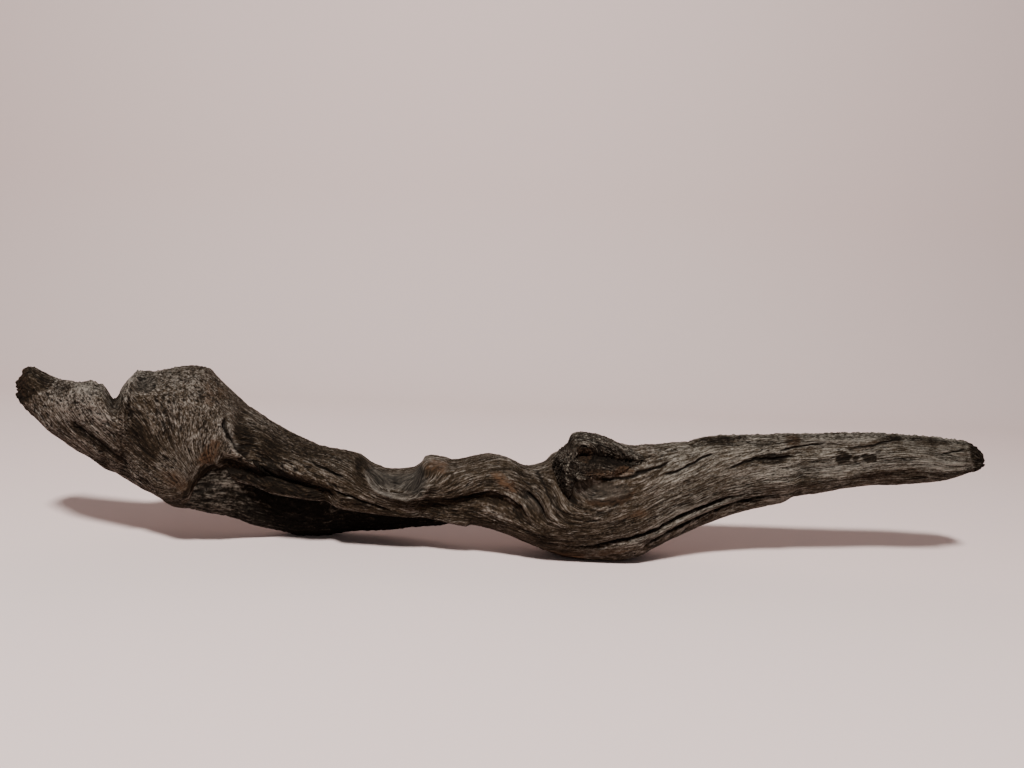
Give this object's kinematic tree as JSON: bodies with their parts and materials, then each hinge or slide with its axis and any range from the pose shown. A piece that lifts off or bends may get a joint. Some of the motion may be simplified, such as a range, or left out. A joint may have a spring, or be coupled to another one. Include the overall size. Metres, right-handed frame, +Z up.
{
  "type": "driftwood log",
  "caption": "Long weathered driftwood log with a broken flared root at one end, a burl, a low belly it rests on, a hollow knot stub and a tapering limb.",
  "frame": {"origin": "on the ground under the middle of the log's bounding box", "axes": "+X along the log from the broken root arm to the thin limb, +Z up as it lies, -Y out of the side seen in the picture"},
  "size_m": [1.23, 0.1539, 0.2164],
  "materials": {
    "arm_wood": "rough, weathered, unfinished",
    "trunk_wood": "rough, weathered, unfinished",
    "limb_wood": "rough, weathered, unfinished",
    "knot_wood": "rough, weathered, unfinished",
    "root_wood": "rough, weathered, unfinished"
  },
  "bodies": {
    "root": {"left_arm": "arm_wood", "trunk": "trunk_wood", "right_limb": "limb_wood", "knot_stub": "knot_wood", "under_root": "root_wood"}
  },
  "joints": []
}
